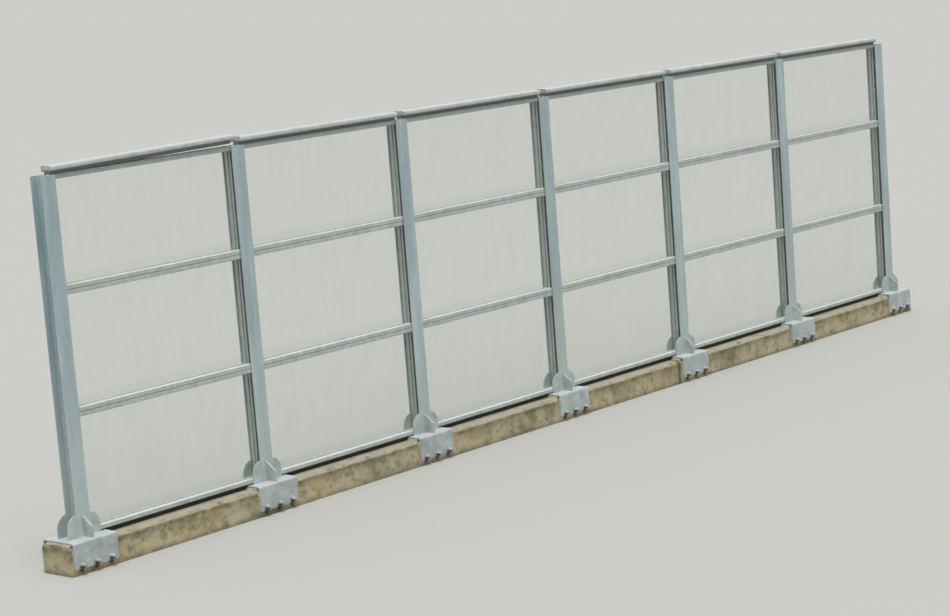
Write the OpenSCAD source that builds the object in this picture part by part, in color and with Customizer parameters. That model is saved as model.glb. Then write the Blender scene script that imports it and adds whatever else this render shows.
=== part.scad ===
// Transparent highway noise barrier: a row of bays on a low concrete plinth.
// Galvanised H posts stand on steel saddles bolted over the plinth, and three
// framed acrylic cassettes slide down between each pair of posts, under a round cap.
// X runs along the row, -Y is the front, Z is up from the underside of the plinth.
// The origin is the middle of that underside.

/* [Row] */
// Number of whole bays
bays = 6; // [1:1:8]
// Distance from post to post
post_pitch = 2000; // [1600:50:2600]

/* [Plinth] */
// Thickness of the plinth across the row
plinth_d = 350; // [320:10:500]
// Height of the plinth above the ground
plinth_h = 240; // [220:10:400]
// Bevel along the two top edges
plinth_bevel = 20; // [0:5:30]
// Length of plinth past the outer edge of each end saddle
plinth_end = 30; // [10:10:200]

/* [Posts] */
// Depth of the H section, front flange to back flange
post_d = 133; // [120:1:200]
// Width of each flange
flange_w = 140; // [136:1:200]
// Thickness of each flange
flange_t = 8.5; // [6:0.5:16]
// Thickness of the web
web_t = 5.5; // [4:0.5:10]
// Radius between web and flange
root_r = 12; // [6:1:15]

/* [Saddles] */
// Length of each saddle along the row
saddle_w = 440; // [400:10:600]
// Plate thickness of the saddle
saddle_t = 12; // [8:1:20]
// Outside radius of the two bends
bend_r = 18; // [16:1:20]
// Mortar bed between plinth and saddle
bed_t = 12; // [5:1:30]
// Height of each apron, from the top of the plate to its lower edge
apron_h = 212; // [200:2:220]
// How far each rounded wing stands out past the flange edge
wing_reach = 95; // [80:5:120]
// Height of the straight edge of a wing above the plate
wing_straight = 75; // [40:5:100]
// Radius of the rounded shoulder of a wing
wing_r = 110; // [95:5:130]
// Thickness of a wing
wing_t = 10; // [8:1:11]
// Thickness of the fin in the middle of each flange
fin_t = 15; // [8:1:20]
// Flat of the plate left between the fin's toe and the bend
fin_toe = 2.5; // [0:0.5:20]
// Height of the fin at the flange
fin_high = 166; // [120:2:220]
// Height of the fin at its nose
fin_nose = 92; // [20:2:110]

/* [Anchors] */
// Thread diameter of the anchor bolts
anchor_d = 24; // [16:2:27]
// Anchors on each apron
anchors = 3; // [2:1:3]
// Distance between the anchors of an apron
anchor_pitch = 150; // [100:10:180]
// Height of the anchors above the lower edge of the apron
anchor_up = 32; // [30:2:80]
// Width of the nuts across flats
nut_af = 36; // [30:1:41]
// Height of the nuts
nut_h = 20; // [12:1:22]
// Diameter of the washers
washer_d = 46; // [42:1:56]
// Thickness of the washers
washer_t = 4; // [2:0.5:6]
// Length of thread that shows past the nut
stud_out = 16; // [5:1:30]

/* [Cassettes] */
// Height of the two lower cassettes
cassette_h = 965; // [500:5:1500]
// Height of the top cassette
top_cassette_h = 903; // [500:5:1500]
// Gap between stacked cassettes
joint_h = 4; // [2:0.5:8]
// Play between the end of a cassette and the root of the post
end_play = 0; // [0:1:8]
// Gap between the frame and each flange, filled with rubber
side_gap = 3.5; // [3:0.5:6]
// Height of a rail behind its pane groove
rail_back = 11; // [9:1:30]
// Rounding of the rail edges beside the pane
rail_round = 10; // [5:1:12]
// Rounding of the rail edges at the joint
joint_round = 2.5; // [1:0.5:4]
// Width of a stile behind its pane groove
stile_back = 19; // [12:1:26]
// Depth of a stile in front of the middle of the pane
stile_front = 27; // [22:1:45]
// Wall thickness of the frame extrusions
wall = 3; // [2:0.5:4]
// Depth of the groove that holds the pane
groove_d = 26; // [20:1:28]
// Lip on each side of the groove's mouth
lip_out = 1.5; // [0.5:0.5:2.5]
// Thickness of the lip
lip_t = 3; // [2:0.5:4]
// Width of the key channel in the joint face
key_w = 24; // [12:1:30]
// Depth of the key channel
key_d = 5; // [3:0.5:6]

/* [Panes] */
// Thickness of the clear sheet
pane_t = 15; // [12:1:20]
// Room between the pane's edge and the bottom of its groove
pane_room = 5; // [3:1:8]
// Thickness of the glazing gasket on each face of the pane
gasket_t = 7; // [5:0.5:9]
// How far the gasket stops short of the pane's edge in the groove
gasket_short = 3; // [1:1:6]
// Height of the gasket's edge above the frame
gasket_out = 4; // [2:0.5:6]

/* [Cap] */
// Width of the cap across the row
cap_w = 130; // [110:2:160]
// Height of the cap
cap_h = 46; // [38:1:70]
// Rounding of the cap's top edges
cap_round = 22; // [10:1:24]
// Rounding of the cap's lower edges
cap_under = 14; // [4:1:14]
// Width of the neck under the cap
neck_w = 60; // [40:2:90]
// Height of the neck
neck_h = 24; // [12:1:40]
// Distance from the middle of a post to the end of a cap
cap_stop = 42; // [15:1:60]
// Thickness of the plates that close the ends of a cap
cap_end_t = 3; // [2:0.5:10]
// How far the far end of the first bay's cap has lifted
cap_lift = 24; // [0:1:40]

/* [Rubber] */
// Thickness of the bearing pads between saddle and cassette
pad_t = 12; // [6:1:20]
// Width of the bottom seal across the row
seal_w = 80; // [60:2:100]
// Wall thickness of the hollow bottom seal
seal_wall = 6; // [4:1:8]
// Gap between the end of a bottom seal and the saddle
seal_gap = 1; // [0:0.5:5]

/* [Hidden] */
posts = bays + 1;

$fn = 48;
// Overshoot of a cutter past the face it cuts
cut = 1;

steel = "#a4adb1";
aluminium = "#b9c0be";
clear_sheet = [0.62, 0.70, 0.66, 0.35];
rubber = "#26282a";
grey_rubber = "#9a9d9a";
concrete = "#a89c80";
mortar = "#b4ad9b";

row_l = bays * post_pitch + saddle_w + 2 * plinth_end;
saddle_d = plinth_d + 2 * saddle_t;
saddle_top = plinth_h + bed_t + saddle_t;
bed_d = plinth_d - 2 * max(plinth_bevel, bend_r - saddle_t);
fin_reach = saddle_d / 2 - bend_r - fin_toe - post_d / 2;
anchor_z = saddle_top - apron_h + anchor_up;
channel_w = post_d - 2 * flange_t;
frame_d = channel_w - 2 * side_gap;
frame_l = post_pitch - web_t - 2 * (root_r + end_play);
frame_z = saddle_top + pad_t;
rail_h = groove_d + rail_back;
stile_w = groove_d + stile_back;
level_step = cassette_h + joint_h;
heights = [cassette_h, cassette_h, top_cassette_h];
levels = len(heights);
stack_top = frame_z + (levels - 1) * level_step + top_cassette_h;
post_l = stack_top - saddle_top;
groove_w = pane_t + 2 * gasket_t;
mouth_w = groove_w - 2 * lip_out;
pane_bite = groove_d - pane_room;
gasket_in = pane_bite - gasket_short;
open_l = frame_l - 2 * stile_w;
cap_l = post_pitch - 2 * cap_stop;

// Places along the row
function post_x(i) = (i - 1 - bays / 2) * post_pitch;
function bay_x(k) = (k - 0.5 - bays / 2) * post_pitch;
// Underside of each cassette, counted from the lowest
function level_z(n) = frame_z + n * level_step;

// Turns an outline drawn across the row into a bar that runs along it, centred
module bar_along_row(length) {
    translate([-length / 2, 0, 0])
        rotate([90, 0, 90])
            linear_extrude(height = length)
                children();
}

// Rectangle on its base line with the two top corners rounded
module round_top(width, height, r) {
    translate([-width / 2, 0])
        square([width, height - r]);
    translate([-width / 2 + r, 0])
        square([width - 2 * r, height]);
    for (side = [-1, 1])
        translate([side * (width / 2 - r), height - r])
            circle(r = r);
}

// The same rectangle with its two bottom corners rounded too
module round_bar(width, height, top_r, under_r) {
    intersection() {
        round_top(width, height, top_r);
        translate([0, height])
            mirror([0, 1])
                round_top(width, height, under_r);
    }
}

// Copies children to both long sides of the row
module both_sides() {
    children();
    mirror([0, 1, 0])
        children();
}

module plinth() {
    half = plinth_d / 2;
    color(concrete)
        bar_along_row(row_l)
            polygon([
                [-half, 0],
                [half, 0],
                [half, plinth_h - plinth_bevel],
                [half - plinth_bevel, plinth_h],
                [-half + plinth_bevel, plinth_h],
                [-half, plinth_h - plinth_bevel]
            ]);
}

module mortar_beds() {
    color(mortar)
        for (i = [1:posts])
            translate([post_x(i) - saddle_w / 2, -bed_d / 2, plinth_h])
                cube([saddle_w, bed_d, bed_t]);
}

// Plate bent down over both faces of the plinth
module saddle_plate() {
    translate([0, 0, saddle_top - apron_h])
        bar_along_row(saddle_w)
            difference() {
                round_top(saddle_d, apron_h, bend_r);
                translate([0, -cut])
                    round_top(plinth_d, apron_h - saddle_t + cut, bend_r - saddle_t);
            }
}

// Rounded wing beside a flange, in the plane of the flange
module wing() {
    rotate([90, 0, 0])
        linear_extrude(height = wing_t) {
            square([wing_reach, wing_straight]);
            intersection() {
                translate([0, wing_straight])
                    square([wing_reach, wing_r]);
                translate([wing_reach - wing_r, wing_straight])
                    circle(r = wing_r);
            }
        }
}

// Upright fin that braces the middle of a flange
module fin() {
    rotate([90, 0, -90])
        translate([0, 0, -fin_t / 2])
            linear_extrude(height = fin_t)
                polygon([
                    [0, 0],
                    [fin_reach, 0],
                    [fin_reach, fin_nose],
                    [0, fin_high]
                ]);
}

module saddle(i) {
    color(steel)
        translate([post_x(i), 0, 0]) {
            saddle_plate();
            translate([0, 0, saddle_top])
                both_sides() {
                    for (side = [0, 1])
                        mirror([side, 0, 0])
                            translate([flange_w / 2, -post_d / 2 + wing_t, 0])
                                wing();
                    translate([0, -post_d / 2, 0])
                        fin();
                }
        }
}

// Washer, nut and thread end on the face of an apron, pointing to the front
module anchor_end() {
    rotate([90, 0, 0]) {
        cylinder(d = washer_d, h = washer_t);
        cylinder(d = nut_af / cos(30), h = washer_t + nut_h, $fn = 6);
        cylinder(d = anchor_d, h = washer_t + nut_h + stud_out);
    }
}

module anchor_nuts() {
    color(steel)
        both_sides()
            for (i = [1:posts])
                for (n = [0:anchors - 1])
                    translate([
                        post_x(i) + (n - (anchors - 1) / 2) * anchor_pitch,
                        -saddle_d / 2,
                        anchor_z
                    ])
                        anchor_end();
}

// Quarter of the H section's root, between the web and a flange
module root_corner() {
    translate([web_t / 2, post_d / 2 - flange_t - root_r])
        difference() {
            square([root_r, root_r]);
            translate([root_r, 0])
                circle(r = root_r);
        }
}

module h_section() {
    translate([-web_t / 2, -post_d / 2])
        square([web_t, post_d]);
    for (side = [-1, 1])
        translate([-flange_w / 2, side * (post_d - flange_t) / 2 - flange_t / 2])
            square([flange_w, flange_t]);
    for (a = [0, 1])
        for (b = [0, 1])
            mirror([a, 0])
                mirror([0, b])
                    root_corner();
}

module post(i) {
    color(steel)
        translate([post_x(i), 0, saddle_top])
            linear_extrude(height = post_l)
                h_section();
}

// Groove that takes the edge of the pane, its mouth up at the given height
module pane_groove(mouth_y) {
    translate([-groove_w / 2, mouth_y - groove_d])
        square([groove_w, groove_d - lip_t]);
    translate([-mouth_w / 2, mouth_y - lip_t - cut])
        square([mouth_w, lip_t + 2 * cut]);
}

// Hollow rail extrusion, pane groove up and key channel down
module rail_section() {
    difference() {
        round_bar(frame_d, rail_h, rail_round, joint_round);
        pane_groove(rail_h);
        for (side = [0, 1])
            mirror([side, 0])
                intersection() {
                    translate([0, wall])
                        round_top(frame_d - 2 * wall, rail_h - 2 * wall, rail_round - wall);
                    translate([groove_w / 2 + wall, 0])
                        square([frame_d, rail_h]);
                }
        translate([-key_w / 2, -cut])
            square([key_w, key_d + cut]);
    }
}

module bay_rails(k) {
    color(aluminium)
        for (n = [0:levels - 1])
            translate([bay_x(k), 0, level_z(n)]) {
                bar_along_row(frame_l)
                    rail_section();
                translate([0, 0, heights[n]])
                    mirror([0, 0, 1])
                        bar_along_row(frame_l)
                            rail_section();
            }
}

// Hollow stile extrusion, its back on x = 0 and its pane groove towards +x
module stile_section() {
    difference() {
        translate([0, -stile_front])
            square([stile_w, stile_front + frame_d / 2]);
        rotate(-90)
            pane_groove(stile_w);
        translate([wall, wall - stile_front])
            square([stile_w - 2 * wall, stile_front - groove_w / 2 - 2 * wall]);
        translate([wall, groove_w / 2 + wall])
            square([stile_w - 2 * wall, frame_d / 2 - groove_w / 2 - 2 * wall]);
        translate([wall, -groove_w / 2])
            square([stile_w - groove_d - 2 * wall, groove_w]);
    }
}

module bay_stiles(k) {
    color(aluminium)
        for (n = [0:levels - 1])
            for (end = [0, 1])
                translate([bay_x(k), 0, level_z(n) + rail_h])
                    mirror([end, 0, 0])
                        translate([-frame_l / 2, 0, 0])
                            linear_extrude(height = heights[n] - 2 * rail_h)
                                stile_section();
}

module bay_panes(k) {
    color(clear_sheet)
        for (n = [0:levels - 1]) {
            pane_l = open_l + 2 * pane_bite;
            pane_h = heights[n] - 2 * rail_h + 2 * pane_bite;
            translate([
                bay_x(k) - pane_l / 2,
                -pane_t / 2,
                level_z(n) + rail_h - pane_bite
            ])
                cube([pane_l, pane_t, pane_h]);
        }
}

// Rectangle centred on the opening and larger than it by the given margin all round
module opening_frame(height, margin) {
    translate([-open_l / 2 - margin, -margin])
        square([open_l + 2 * margin, height + 2 * margin]);
}

// Gasket ring on one face of a pane: thin through the mouth, thick behind the lips
module gasket(height) {
    deep = gasket_in - lip_t;
    rotate([90, 0, 0]) {
        linear_extrude(height = gasket_t - lip_out)
            difference() {
                opening_frame(height, gasket_in);
                opening_frame(height, -gasket_out);
            }
        linear_extrude(height = gasket_t) {
            for (z = [-gasket_in, height + lip_t])
                translate([-open_l / 2 - gasket_in, z])
                    square([open_l + 2 * gasket_in, deep]);
            for (x = [-open_l / 2 - gasket_in, open_l / 2 + lip_t])
                translate([x, 0])
                    square([deep, height]);
        }
    }
}

module glazing_gaskets() {
    color(grey_rubber)
        both_sides()
            for (k = [1:bays])
                for (n = [0:levels - 1])
                    translate([bay_x(k), -pane_t / 2, level_z(n) + rail_h])
                        gasket(heights[n] - 2 * rail_h);
}

// Rubber profile between the front flange and the frames: a strip along the
// whole post, with a thick block beside each pane
module front_rubber() {
    block_d = frame_d / 2 - stile_front;
    translate([0, -channel_w / 2, frame_z])
        cube([stile_w, side_gap, stack_top - frame_z]);
    for (n = [0:levels - 1])
        translate([0, -channel_w / 2, level_z(n) + rail_h])
            cube([stile_w, side_gap + block_d, heights[n] - 2 * rail_h]);
}

// Rubber strip between the back flange and the frames
module back_rubber() {
    translate([0, frame_d / 2, frame_z])
        cube([stile_w, side_gap, stack_top - frame_z]);
}

module side_rubbers() {
    color(rubber)
        for (k = [1:bays])
            for (end = [0, 1])
                translate([bay_x(k), 0, 0])
                    mirror([end, 0, 0])
                        translate([-frame_l / 2, 0, 0]) {
                            front_rubber();
                            back_rubber();
                        }
}

// Keys that close the joint between stacked cassettes
module joint_seals() {
    color(rubber)
        for (k = [1:bays])
            for (n = [1:levels - 1])
                translate([
                    bay_x(k) - frame_l / 2,
                    -key_w / 2,
                    level_z(n) - joint_h - key_d
                ])
                    cube([frame_l, key_w, joint_h + 2 * key_d]);
}

// Hollow rubber strip that closes the slot between plinth and lowest rail
module seal_section() {
    height = frame_z - plinth_h;
    cell_w = (seal_w - 3 * seal_wall) / 2;
    difference() {
        translate([-seal_w / 2, 0])
            square([seal_w, height]);
        for (side = [-1, 1])
            translate([side * (cell_w + seal_wall) / 2 - cell_w / 2, seal_wall])
                square([cell_w, height - 2 * seal_wall]);
    }
    translate([-key_w / 2, height])
        square([key_w, key_d]);
}

module bottom_seals() {
    color(rubber)
        for (k = [1:bays])
            translate([bay_x(k), 0, plinth_h])
                bar_along_row(post_pitch - saddle_w - 2 * seal_gap)
                    seal_section();
}

module bearing_pads() {
    pad_l = (frame_l - post_pitch + saddle_w) / 2;
    color(rubber)
        for (k = [1:bays])
            for (end = [0, 1])
                translate([bay_x(k), 0, saddle_top])
                    mirror([end, 0, 0])
                        translate([-frame_l / 2, -seal_w / 2, 0])
                            cube([pad_l, seal_w, pad_t]);
}

// Outline of the cap: round tube on a neck, with a tongue for the rail's channel
module cap_outline() {
    tongue_play = 0.2;
    translate([0, neck_h])
        round_bar(cap_w, cap_h, cap_round, cap_under);
    translate([-neck_w / 2, 0])
        square([neck_w, neck_h]);
    translate([-key_w / 2 + tongue_play, -key_d + tongue_play])
        square([key_w - 2 * tongue_play, key_d]);
}

// The two hollow cells inside the cap
module cap_cells() {
    translate([0, neck_h + wall])
        round_bar(cap_w - 2 * wall, cap_h - 2 * wall, cap_round - wall, cap_under - wall);
    translate([-neck_w / 2 + wall, wall])
        square([neck_w - 2 * wall, neck_h - wall]);
}

// The cap is closed by a plate at each end; the first bay's has tilted on its near end
module bay_cap(k) {
    tilt = k == 1 ? asin(cap_lift / cap_l) : 0;
    color(aluminium)
        translate([bay_x(k) - cap_l / 2, 0, stack_top])
            rotate([0, -tilt, 0])
                translate([cap_l / 2, 0, 0])
                    difference() {
                        bar_along_row(cap_l)
                            cap_outline();
                        bar_along_row(cap_l - 2 * cap_end_t)
                            cap_cells();
                    }
}

plinth();
mortar_beds();
anchor_nuts();
for (i = [1:posts]) {
    saddle(i);
    post(i);
}
for (k = [1:bays]) {
    bay_rails(k);
    bay_stiles(k);
    bay_panes(k);
    bay_cap(k);
}
glazing_gaskets();
side_rubbers();
joint_seals();
bottom_seals();
bearing_pads();
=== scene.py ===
import math
import random

import bmesh
import bpy
from mathutils import Matrix, Vector, noise


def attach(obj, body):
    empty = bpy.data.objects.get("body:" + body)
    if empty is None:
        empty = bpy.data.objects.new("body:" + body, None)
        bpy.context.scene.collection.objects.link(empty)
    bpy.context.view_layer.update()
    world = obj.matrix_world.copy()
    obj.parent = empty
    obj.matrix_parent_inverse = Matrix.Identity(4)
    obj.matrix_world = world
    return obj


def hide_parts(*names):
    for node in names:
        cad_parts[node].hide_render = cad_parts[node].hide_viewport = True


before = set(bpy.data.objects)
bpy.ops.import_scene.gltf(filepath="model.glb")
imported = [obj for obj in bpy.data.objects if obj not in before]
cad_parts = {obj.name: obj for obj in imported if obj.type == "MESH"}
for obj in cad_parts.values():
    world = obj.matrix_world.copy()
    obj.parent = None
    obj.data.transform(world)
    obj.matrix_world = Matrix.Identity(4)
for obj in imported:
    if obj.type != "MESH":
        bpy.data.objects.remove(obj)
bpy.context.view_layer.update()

# Plinth
# Low kerb wall of concrete cast on site, one mass under the whole row. Its faces are stained with
# ochre dust and splashed dirt, and its top arrises are chipped, with moss and dirt held in the
# rough edge below them.
# Shade is painted on it along its foot, on its top beside the bottom seal and below each anchor.


def linear(srgb):
    """sRGB hex colour as linear RGBA."""
    channels = [int(srgb[i:i + 2], 16) / 255 for i in (0, 2, 4)]
    return (*[c / 12.92 if c <= 0.04045 else ((c + 0.055) / 1.055) ** 2.4 for c in channels], 1.0)


def per_metre(size_mm):
    """How often a pattern of that real size repeats in a metre."""
    return 1000 / size_mm


def add_node(tree, kind, inputs=None, stops=None, **settings):
    """Adds a shader node with its settings. inputs holds plain values, or sockets and nodes to link."""
    made = tree.nodes.new("ShaderNode" + kind)
    for name, value in settings.items():
        setattr(made, name, value)
    for name, value in (inputs or {}).items():
        if isinstance(value, bpy.types.Node):
            value = next(out for out in value.outputs if out.enabled)
        if isinstance(value, bpy.types.NodeSocket):
            tree.links.new(value, made.inputs[name])
        else:
            made.inputs[name].default_value = value
    for at, (place, colour) in enumerate(stops or ()):
        ramp = made.color_ramp.elements
        stop = ramp[at] if at < 2 else ramp.new(place)
        stop.position = place
        stop.color = linear(colour)
    return made


def new_material(name):
    """An empty material with its node tree, its output and the object's own coordinates."""
    material = bpy.data.materials.new(name)
    material.use_nodes = True
    tree = material.node_tree
    tree.nodes.clear()
    output = add_node(tree, "OutputMaterial")
    place = add_node(tree, "TexCoord").outputs["Object"]
    return material, tree, output, place


def make_piece(bm, name, material, stands_for=(), sharp_over=35):
    """Makes a bmesh a piece of the object, which rides on its one body."""
    mesh = bpy.data.meshes.new(name)
    bm.to_mesh(mesh)
    bm.free()
    mesh.materials.append(material)
    mesh.shade_smooth()
    mesh.set_sharp_from_angle(angle=math.radians(sharp_over))
    piece = bpy.data.objects.new(name, mesh)
    bpy.context.scene.collection.objects.link(piece)
    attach(piece, "root")
    if stands_for:
        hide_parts(*stands_for)


day_joint = 1.725
post_pitch, anchor_pitch = 2.0, 0.150


def ragged(tree, distance, pattern, reach):
    """A distance made uneven by a pattern, so that the edge of what follows it is ragged."""
    uneven = add_node(tree, "Math", {0: pattern, 1: reach}, operation="MULTIPLY")
    return add_node(tree, "Math", {0: distance, 1: uneven}, operation="ADD")


def painted_anchor_shadow(tree, axes, pattern, middle, wide, high):
    """Share of painted shadow in a ragged spot at each anchor, given the spot's height and half sizes."""
    from_post = add_node(tree, "Math", {0: axes.outputs["X"], 1: post_pitch / 2}, operation="PINGPONG")
    from_anchor = add_node(tree, "Math", {0: from_post, 1: anchor_pitch / 2}, operation="PINGPONG")
    from_middle = add_node(tree, "Math", {0: axes.outputs["Z"], 1: middle}, operation="SUBTRACT")
    spot = add_node(tree, "CombineXYZ", {
        "X": add_node(tree, "Math", {0: from_anchor, 1: wide}, operation="DIVIDE"),
        "Y": add_node(tree, "Math", {0: from_middle, 1: high}, operation="DIVIDE")})
    from_spot = add_node(tree, "VectorMath", {0: spot}, operation="LENGTH").outputs["Value"]
    off_spot = ragged(tree, from_spot, pattern, 0.9)
    share = add_node(tree, "MapRange", {
        "Value": off_spot, "From Min": 0.7, "From Max": 1.5, "To Min": 0.9, "To Max": 0.0})
    at_saddle = add_node(tree, "Math", {0: from_post, 1: anchor_pitch * 1.3}, operation="LESS_THAN")
    return add_node(tree, "Math", {0: share, 1: at_saddle}, operation="MULTIPLY")


def weathered_concrete():
    """Site-cast concrete: matt, with blotches of ochre dust, grey cement and dark moss."""
    material, tree, output, place = new_material("weathered_cast_concrete")
    axes = add_node(tree, "SeparateXYZ", {"Vector": place})
    patches = add_node(tree, "TexNoise", {
        "Vector": place, "Scale": per_metre(520), "Detail": 7, "Roughness": 0.62, "Distortion": 0.4})
    body = add_node(tree, "ValToRGB", {"Fac": patches}, [
        (0.34, "8a876e"), (0.43, "b5ae8f"), (0.51, "cbc2a2"), (0.58, "cab58e"), (0.67, "b0ac93")])
    stains = add_node(tree, "TexNoise", {
        "Vector": place, "Scale": per_metre(95), "Detail": 8, "Roughness": 0.7})
    stain_share = add_node(tree, "MapRange", {
        "Value": stains, "From Min": 0.48, "From Max": 0.65, "To Min": 0.0, "To Max": 0.85})
    stained = add_node(tree, "Mix", {0: stain_share, 6: body, 7: linear("7f7b61")}, data_type="RGBA")
    # Reddish dust that dried in patches a hand wide
    ruddy = add_node(tree, "TexNoise", {
        "Vector": place, "Scale": per_metre(170), "Detail": 5, "Roughness": 0.6, "Distortion": 0.8})
    ruddy_share = add_node(tree, "MapRange", {
        "Value": ruddy, "From Min": 0.56, "From Max": 0.68, "To Min": 0.0, "To Max": 0.45})
    dusted = add_node(tree, "Mix", {0: ruddy_share, 6: stained, 7: linear("c6a685")}, data_type="RGBA")
    # Dirt washed down from the top arris, which fades by half height
    washed = ragged(tree, axes.outputs["Z"], patches, 0.22)
    wash_share = add_node(tree, "MapRange", {
        "Value": washed, "From Min": 0.215, "From Max": 0.315, "To Min": 0.0, "To Max": 0.42})
    streaked = add_node(tree, "Mix", {0: wash_share, 6: dusted, 7: linear("77745a")}, data_type="RGBA")
    # Moss in the rough edge below the arris, wavy as the damp line is
    wave = add_node(tree, "TexNoise", {
        "Vector": place, "Scale": per_metre(160), "Detail": 6, "Roughness": 0.6})
    lifted = ragged(tree, axes.outputs["Z"], wave, 0.09)
    moss_low = add_node(tree, "MapRange", {
        "Value": lifted, "From Min": 0.208, "From Max": 0.240, "To Min": 0.0, "To Max": 1.0})
    moss_top = add_node(tree, "MapRange", {
        "Value": lifted, "From Min": 0.252, "From Max": 0.264, "To Min": 1.0, "To Max": 0.0})
    moss_share = add_node(tree, "Math", {0: moss_low, 1: moss_top}, operation="MULTIPLY")
    moss_patch = add_node(tree, "MapRange", {
        "Value": ruddy, "From Min": 0.42, "From Max": 0.58, "To Min": 0.70, "To Max": 0.05})
    moss_held = add_node(tree, "Math", {0: moss_share, 1: moss_patch}, operation="MULTIPLY")
    mossy = add_node(tree, "Mix", {0: moss_held, 6: streaked, 7: linear("68654b")}, data_type="RGBA")
    # Dusty bevel and top, washed pale by the rain but for patches
    on_top = add_node(tree, "MapRange", {
        "Value": axes.outputs["Z"], "From Min": 0.207, "From Max": 0.219, "To Min": 0.0, "To Max": 0.9})
    rained = add_node(tree, "MapRange", {
        "Value": stains, "From Min": 0.46, "From Max": 0.62, "To Min": 1.0, "To Max": 0.4})
    top_share = add_node(tree, "Math", {0: on_top, 1: rained}, operation="MULTIPLY")
    dusty = add_node(tree, "Mix", {0: top_share, 6: mossy, 7: linear("b4af9c")}, data_type="RGBA")
    # Painted shade on the top along the bottom seal, where the rail above overhangs it
    from_seal = add_node(tree, "Math", {0: axes.outputs["Y"]}, operation="ABSOLUTE")
    seal_shade_share = add_node(tree, "MapRange", {
        "Value": ragged(tree, from_seal, wave, -0.06),
        "From Min": 0.015, "From Max": 0.065, "To Min": 0.9, "To Max": 0.0})
    seal_shade_held = add_node(tree, "Math", {0: seal_shade_share, 1: top_share}, operation="MULTIPLY")
    seal_shaded = add_node(tree, "Mix", {0: seal_shade_held, 6: dusty, 7: linear("6c6a59")}, data_type="RGBA")
    # Painted contact shadow along the foot
    foot_shadow_share = add_node(tree, "MapRange", {
        "Value": ragged(tree, axes.outputs["Z"], wave, -0.06),
        "From Min": -0.020, "From Max": 0.018, "To Min": 0.6, "To Max": 0.0})
    foot_shadowed = add_node(tree, "Mix", {0: foot_shadow_share, 6: seal_shaded, 7: linear("6e6a58")}, data_type="RGBA")
    # Painted shadow of the anchors on the foot below each of them
    foot_anchor_shadow_share = painted_anchor_shadow(tree, axes, wave, middle=0.038, wide=0.036, high=0.032)
    anchor_shadowed = add_node(tree, "Mix", {0: foot_anchor_shadow_share, 6: foot_shadowed, 7: linear("453f34")}, data_type="RGBA")
    # Moss that runs down from the day joint beside the fifth saddle
    from_joint = add_node(tree, "Math", {
        0: add_node(tree, "Math", {0: axes.outputs["X"], 1: day_joint}, operation="SUBTRACT")},
        operation="ABSOLUTE")
    joint_share = add_node(tree, "MapRange", {
        "Value": ragged(tree, from_joint, wave, -0.05),
        "From Min": -0.02, "From Max": 0.012, "To Min": 0.9, "To Max": 0.0})
    footed = add_node(tree, "Mix", {0: joint_share, 6: anchor_shadowed, 7: linear("5a5f3c")}, data_type="RGBA")
    # Sand grains of 2 to 4 mm and open pores
    grains = add_node(tree, "TexNoise", {
        "Vector": place, "Scale": per_metre(7), "Detail": 4, "Roughness": 0.7})
    grain_shade = add_node(tree, "MapRange", {
        "Value": grains, "From Min": 0.3, "From Max": 0.7, "To Min": 0.82, "To Max": 1.16})
    shaded = add_node(tree, "VectorMath", {0: footed.outputs[2], "Scale": grain_shade.outputs[0]},
                      operation="SCALE")
    pores = add_node(tree, "TexVoronoi", {"Vector": place, "Scale": per_metre(26), "Randomness": 1.0})
    pore_depth = add_node(tree, "MapRange", {
        "Value": pores.outputs["Distance"],
        "From Min": 0.05, "From Max": 0.16, "To Min": 0.0, "To Max": 1.0})
    height = add_node(tree, "Math", {0: grains, 1: pore_depth}, operation="ADD")
    rough = add_node(tree, "Bump", {"Strength": 0.55, "Distance": 0.004, "Height": height})
    surface = add_node(tree, "BsdfPrincipled", {
        "Base Color": shaded, "Roughness": 0.92, "Specular IOR Level": 0.25, "Normal": rough})
    tree.links.new(surface.outputs[0], output.inputs["Surface"])
    return material


concrete = weathered_concrete()
row_half, plinth_half, plinth_top, plinth_bevel = 6.25, 0.175, 0.240, 0.020
# The mesh is finest along the arrises, where the chips are
column_step = 0.014
heights_mm = [0, 12, 30, 55, 85, 115, 145, 170, 190, 205, 213, 220, 225, 230, 235, 240]
depths_mm = [0, 5, 10, 15, 20, 30, 60, 110, 175, 240, 290, 320, 330, 335, 340, 345, 350]
# Uneven faces: how many waves and dimples there are in a metre, and what they take off
wave_rate, dimple_rate, worn_rate = 4, 28, 9
mean_loss, wave_loss, dimple_loss, worn_loss = 0.0022, 0.0016, 0.0007, 0.016
end_loss, end_wave_loss = 0.0015, 0.0012
joint_depth, joint_half = 0.006, 0.012
foot_fade, top_zone, arris_reach = 0.01, 0.022, 0.035
top_share, arris_share = 0.8, 0.7
# Chips along the arrises and shallow spalls on the faces
chance = random.Random(7)
chip_count, chip_reach, chip_depth = 190, (0.012, 0.05), (0.004, 0.014)
spall_count, spall_height, spall_reach, spall_depth = 110, (0.03, 0.2), (0.015, 0.06), (0.002, 0.006)
spall_flatness, spall_zone = 0.6, 0.01
stretch = 0.25


def grid_block(columns, rows, levels):
    """A closed block of quads on those lists of places along X, Y and Z."""
    bm = bmesh.new()
    bmesh.ops.create_cube(bm, size=1.0)
    for axis, places in enumerate((columns, rows, levels)):
        along = [e for e in bm.edges
                 if abs(e.verts[0].co[axis] - e.verts[1].co[axis]) > 0.5]
        bmesh.ops.subdivide_edges(bm, edges=along, cuts=len(places) - 2, use_grid_fill=True)
    for v in bm.verts:
        v.co = [places[round((v.co[axis] + 0.5) * (len(places) - 1))]
                for axis, places in enumerate((columns, rows, levels))]
    return bm


def by_stretch(marks):
    """Marks sorted by the short stretch of the row that their middle is in, to find the near ones."""
    stretches = {}
    for mark in marks:
        stretches.setdefault(round(mark[0] / stretch), []).append(mark)
    return stretches


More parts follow.
